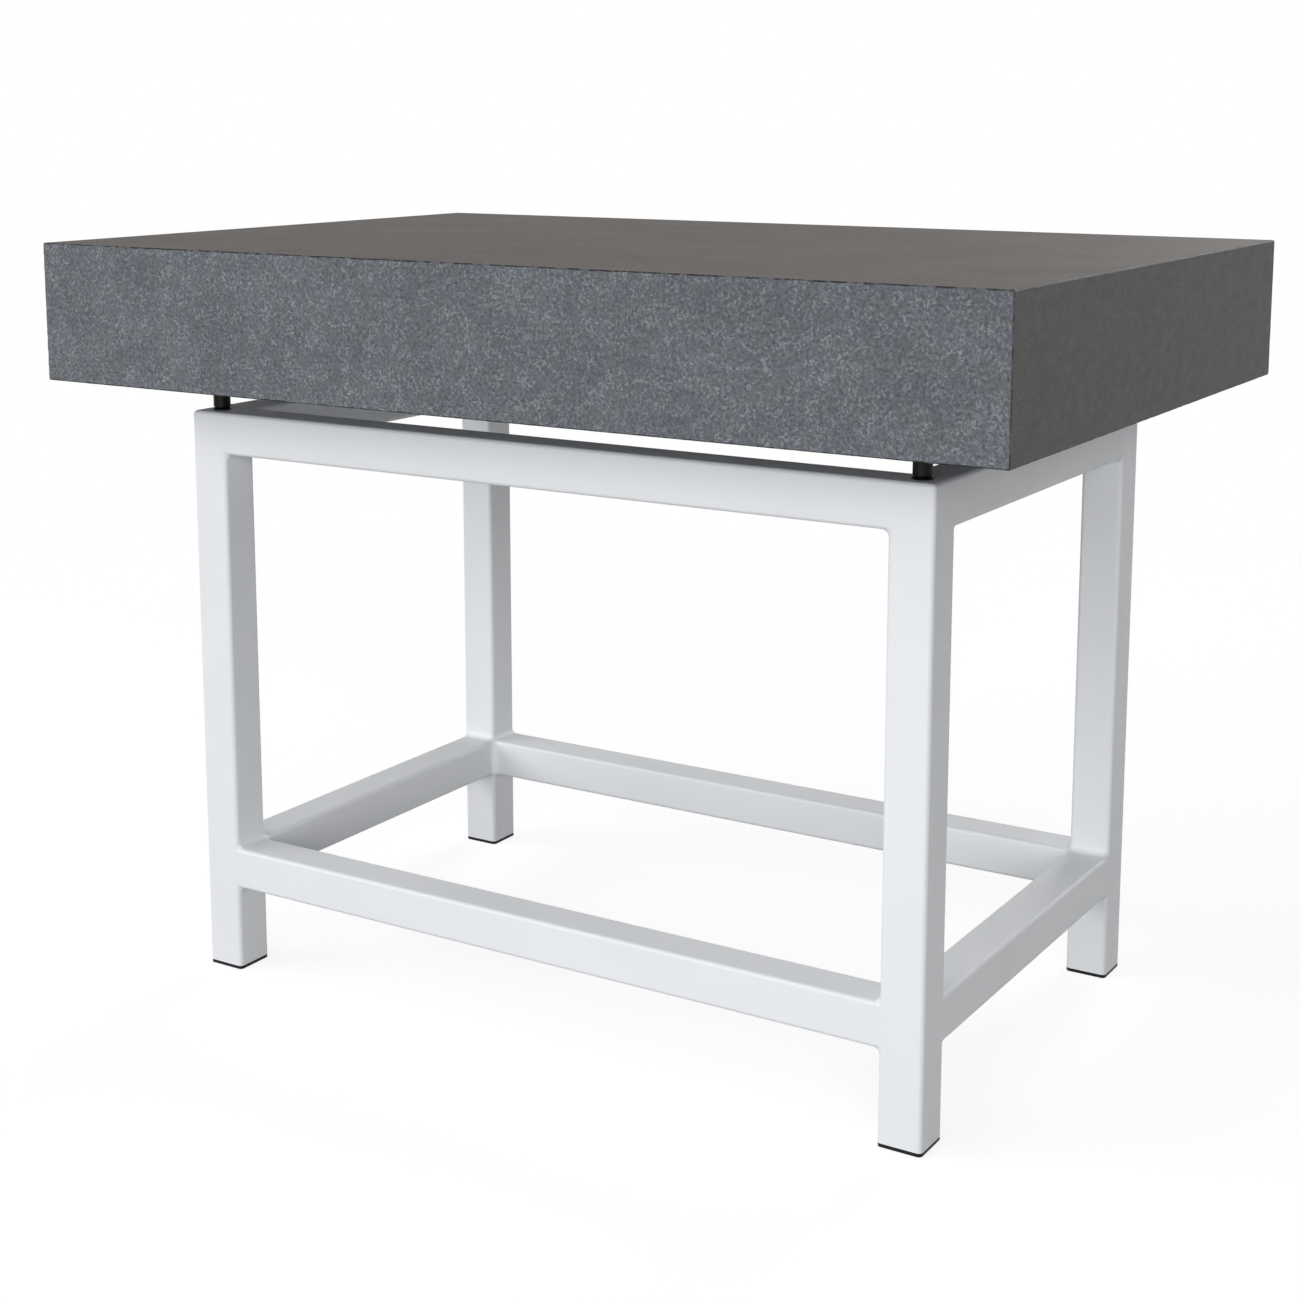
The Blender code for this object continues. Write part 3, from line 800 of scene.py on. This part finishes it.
def thread_mesh(low, high, radius):
    """A closed threaded rod. The last column joins the first one turn further up."""
    columns, per_turn = thread_columns(low, high, radius)
    shape = bmesh.new()
    grid = [[shape.verts.new(point) for point in column] for column in columns]
    count = len(grid[0])
    for side, here in enumerate(grid):
        there = grid[(side + 1) % THREAD_SIDES]
        rise = per_turn if side == THREAD_SIDES - 1 else 0
        for i in range(count - rise - 1):
            j = i + rise
            shape.faces.new((here[i], there[j], there[j + 1], here[i + 1]))
    bmesh.ops.remove_doubles(shape, verts=shape.verts, dist=THREAD_MERGE_DISTANCE)
    bmesh.ops.dissolve_degenerate(shape, edges=shape.edges, dist=THREAD_MERGE_DISTANCE)
    loose = [v for v in shape.verts if not v.link_faces]
    bmesh.ops.delete(shape, geom=loose, context="VERTS")
    rim = [e for e in shape.edges if e.is_boundary]
    bmesh.ops.holes_fill(shape, edges=rim, sides=0)
    return mesh_from(shape, "thread")


def head_mesh(under_head):
    """A hexagon head with a crowned top and a washer face."""
    flat = HEAD_FLATS / 2
    circle = flat * HEAD_CIRCLE_SHARE
    top = under_head + HEAD_HEIGHT
    columns = []
    for step in range(HEAD_COLUMNS):
        angle = 2 * math.pi * step / HEAD_COLUMNS
        within = (angle + math.pi / 6) % (math.pi / 3) - math.pi / 6
        hexagon = flat / math.cos(math.pi / 6 - abs(within))
        slope = (hexagon - circle) * HEAD_CROWN_SLOPE
        outline = ((circle, top), (hexagon, top - slope),
                   (hexagon, under_head + HEAD_UNDERCUT_SHARE * slope + WASHER_HEIGHT),
                   (circle, under_head + WASHER_HEIGHT),
                   (circle * WASHER_FOOT_SHARE, under_head))
        columns.append([(reach * math.cos(angle), reach * math.sin(angle), height)
                        for reach, height in outline])
    return ring_mesh(zip(*columns), "head")


def screw_mesh(low, under_head, radius, nose_top, shank):
    """A screw with a hexagon head, a plain shank of the given length and a ball nose."""
    neck = under_head - shank
    nose_low = under_head + HEAD_HEIGHT - NOSE_OVERLAP
    centre = nose_top - NOSE_RADIUS
    sweep = math.acos((nose_low - centre) / NOSE_RADIUS)
    angles = [sweep * i / NOSE_STEPS for i in range(NOSE_STEPS + 1)]
    nose = lathe([*[(NOSE_RADIUS * math.sin(a), centre + NOSE_RADIUS * math.cos(a))
                    for a in angles], (0, nose_low)], ROUND_SIDES)
    core = radius - THREAD_DEPTH
    full = radius if shank > THREAD_RUNOUT else core
    stud = lathe([(0, under_head + SHANK_OVERLAP), (full, under_head + SHANK_OVERLAP),
                  (full, neck + SHANK_CONE_TOP), (core, neck - SHANK_CONE_END),
                  (0, neck - SHANK_CONE_END)], ROUND_SIDES)
    result = head_mesh(under_head)
    for part in (nose, stud, thread_mesh(low, neck, radius)):
        result = combined(result, part, "UNION")
    smooth(result, 30)
    return result


def pad_mesh(low, high, facing, seat, centre):
    """A swivel pad with a groove round its edge, a recess for its facing and a socket below.

    facing is the facing's radius, and seat the height of the recess's floor.
    """
    outer = (high.x - low.x) / 2
    waist = (low.z + high.z) / 2
    recess = facing + PAD_RECESS_GAP
    floor = outer - PAD_GROOVE_DEPTH
    socket = NOSE_RADIUS * SOCKET_SHARE
    mesh = lathe(rounded_profile([
        (0, seat, 0), (recess, seat, 0), (recess, high.z, BROKEN_EDGE),
        (outer, high.z, PAD_EDGE), (outer, waist + PAD_GROOVE_MOUTH, PAD_GROOVE_MOUTH_EDGE),
        (floor, waist + PAD_GROOVE_FLOOR, PAD_GROOVE_FLOOR_EDGE),
        (floor, waist - PAD_GROOVE_FLOOR, PAD_GROOVE_FLOOR_EDGE),
        (outer, waist - PAD_GROOVE_MOUTH, PAD_GROOVE_MOUTH_EDGE),
        (outer, low.z, PAD_EDGE), (socket, low.z, BROKEN_EDGE),
        (socket * SOCKET_TOP_SHARE, low.z + SOCKET_SIDE_HEIGHT, 0), (0, low.z + SOCKET_HEIGHT, 0),
    ]), ROUND_SIDES, centre)
    smooth(mesh)
    return mesh


def facing_mesh(low, high, centre):
    radius = (high.x - low.x) / 2
    mesh = lathe(rounded_profile([
        (0, high.z, 0), (radius, high.z, FACING_EDGE), (radius, low.z, BROKEN_EDGE),
        (0, low.z, 0),
    ]), ROUND_SIDES, centre)
    smooth(mesh)
    return mesh


def build_supports():
    screws = {}
    for name, (screw_node, pad_node, facing_node, screw_body, pad_body) in SUPPORTS.items():
        low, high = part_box(screw_node + name)
        centre = (low + high) / 2
        under_head = high.z - NOSE_OVER_HEAD - HEAD_HEIGHT
        if screw_node not in screws:
            # A guard turns down into its block, so its thread goes all the way up
            shank = GUARD_SHANK if screw_node in GUARD_NODES else MAIN_SHANK
            screws[screw_node] = screw_mesh(low.z - under_head, 0.0, SCREW_RADIUS,
                                            high.z - under_head, shank)
        mesh = screws[screw_node].copy()
        mesh.transform(Matrix.Translation((centre.x, centre.y, under_head)))
        piece("screw_" + name, mesh, OXIDE, screw_body, [screw_node + name])

        low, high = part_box(pad_node + name)
        face_low, face_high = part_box(facing_node + name)
        mesh = pad_mesh(low, high, (face_high.x - face_low.x) / 2, face_low.z - PAD_SEAT_DROP,
                        (centre.x, centre.y))
        piece("pad_" + name, mesh, OXIDE, pad_body, [pad_node + name])
        piece("facing_" + name, facing_mesh(face_low, face_high, (centre.x, centre.y)), RUBBER,
              pad_body, [facing_node + name])


# Plate


def slab_mesh(low, high):
    """A slab whose twelve edges have narrow hand-ground chamfers of slightly uneven width."""
    draw = random.Random(CHAMFER_SEED)
    size = high - low
    corners = {}
    shape = bmesh.new()

    def vert(point):
        key = tuple(round(c * POINTS_PER_METRE) for c in point)
        if key not in corners:
            corners[key] = shape.verts.new(point)
        return corners[key]

    faces = {(axis, side): {} for axis in range(3) for side in (0, 1)}
    for axis in range(3):
        first, second = [a for a in range(3) if a != axis]
        steps = max(2, round((size[axis] - 2 * CHAMFER) / CHAMFER_STEP))
        for a in (0, 1):
            for b in (0, 1):
                line = {first: [], second: []}
                for i in range(steps + 1):
                    along = low[axis] + CHAMFER + (size[axis] - 2 * CHAMFER) * i / steps
                    for face_axis, other, face_side, other_side in (
                            (first, second, a, b), (second, first, b, a)):
                        at_end = i in (0, steps)
                        wander = 0 if at_end else draw.uniform(-1, 1) * CHAMFER_WANDER
                        inset = CHAMFER + wander
                        point = [0.0, 0.0, 0.0]
                        point[axis] = along
                        point[face_axis] = (low, high)[face_side][face_axis]
                        edge_at = (low, high)[other_side][other]
                        point[other] = edge_at + (inset if other_side == 0 else -inset)
                        line[face_axis].append(vert(point))
                for i in range(steps):
                    quad = [line[first][i], line[first][i + 1], line[second][i + 1],
                            line[second][i]]
                    shape.faces.new(quad).material_index = CHAMFER_SLOT
                faces[first, a][axis, b] = line[first]
                faces[second, b][axis, a] = line[second]
    for (axis, side), lines in faces.items():
        first, second = [a for a in range(3) if a != axis]
        loop = (lines[first, 0] + lines[second, 1][1:] + lines[first, 1][::-1][1:]
                + lines[second, 0][::-1][1:-1])
        on_top = axis == 2 and side == 1
        shape.faces.new(loop).material_index = TOP_SLOT if on_top else SIDE_SLOT
    for x in (0, 1):
        for y in (0, 1):
            for z in (0, 1):
                sides = (x, y, z)
                points = []
                for axis in range(3):
                    point = [(low, high)[s][i] + (CHAMFER if s == 0 else -CHAMFER)
                             for i, s in enumerate(sides)]
                    point[axis] = (low, high)[sides[axis]][axis]
                    points.append(vert(point))
                shape.faces.new(points).material_index = CHAMFER_SLOT
    return mesh_from(shape, "slab")


def build_plate():
    low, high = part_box("granite_plate")
    mesh = slab_mesh(low, high)
    for material in (SAWN, LAPPED, EDGE):
        mesh.materials.append(material)
    piece("granite_slab", mesh, SAWN, "plate", ["granite_plate"])


# Studio


def build_camera():
    camera = add_object("camera", bpy.data.cameras.new("camera"))
    camera.data.sensor_width = SENSOR_WIDTH
    camera.data.lens = FOCAL_LENGTH
    camera.data.shift_y = CAMERA_SHIFT
    camera.location = CAMERA_PLACE
    camera.rotation_euler = (math.pi / 2 - CAMERA_DIP, 0, CAMERA_TURN)
    bpy.context.scene.camera = camera


def build_floor():
    shape = bmesh.new()
    bmesh.ops.create_grid(shape, x_segments=1, y_segments=1, size=FLOOR_REACH)
    floor = add_object("floor", mesh_from(shape, "floor"))
    graph = material_graph("floor")
    lighting = graph.node("BsdfDiffuse", {"Color": FLOOR_TONE})
    tone = graph.node("BsdfDiffuse", {"Color": FLOOR_SEEN_TONE})
    glow = graph.node("Emission", {"Color": WHITE, "Strength": FLOOR_GLOW})
    near = graph.node("AddShader", {0: tone.outputs[0], 1: glow.outputs[0]})
    far = graph.node("Emission", {"Color": WHITE, "Strength": 1.0})
    away = graph.step(graph.vector("LENGTH", graph.place()), FLOOR_WHITE_FROM, FLOOR_WHITE_AT)
    seen = graph.node("MixShader", {0: away, 1: near.outputs[0], 2: far.outputs[0]})
    both = graph.node("MixShader", {0: graph.seen_share(), 1: lighting.outputs[0],
                                    2: seen.outputs[0]})
    graph.feed(graph.tree.nodes["Material Output"].inputs[0], both.outputs[0])
    floor.data.materials.append(graph.owner)


def build_world():
    graph = Graph(bpy.data.worlds.new("studio"))
    bpy.context.scene.world = graph.owner
    lighting = graph.tree.nodes["Background"]
    graph.feed(lighting.inputs["Color"], WHITE)
    graph.feed(lighting.inputs["Strength"], WORLD_LIGHT)
    seen = graph.node("Background", {"Color": WHITE})
    both = graph.node("MixShader", {0: graph.seen_share(), 1: lighting.outputs[0],
                                    2: seen.outputs[0]})
    graph.feed(graph.tree.nodes["World Output"].inputs[0], both.outputs[0])


def build_lamps():
    for name, (turn, rise, strength) in SUNS.items():
        sun = add_object(name, bpy.data.lights.new(name, "SUN"))
        sun.data.angle = SUN_ANGLE
        sun.data.energy = math.pi * strength
        towards = Matrix.Rotation(math.radians(turn), 3, "Z") @ Vector(
            (0, -math.cos(math.radians(rise)), math.sin(math.radians(rise))))
        sun.rotation_euler = towards.to_track_quat("Z", "Y").to_euler()
    fill = add_object("low fill", bpy.data.lights.new("low fill", "AREA"))
    fill.data.size = FILL_SIZE
    fill.data.energy = FILL_POWER
    fill.location = FILL_PLACE
    fill.rotation_euler = (FILL_PLACE - FILL_TARGET).to_track_quat("Z", "Y").to_euler()
    fill.visible_camera = False


SAWN = granite_sides()
LAPPED = granite_top()
EDGE = granite_chamfer()
COAT = powder_coat()
BORE = bare_bore()
OXIDE = black_oxide()
PLASTIC = moulded_plastic()
RUBBER = facing_rubber()

bpy.context.scene.view_settings.view_transform = "Standard"
build_camera()
build_floor()
build_world()
build_lamps()
build_stand()
build_supports()
build_plate()
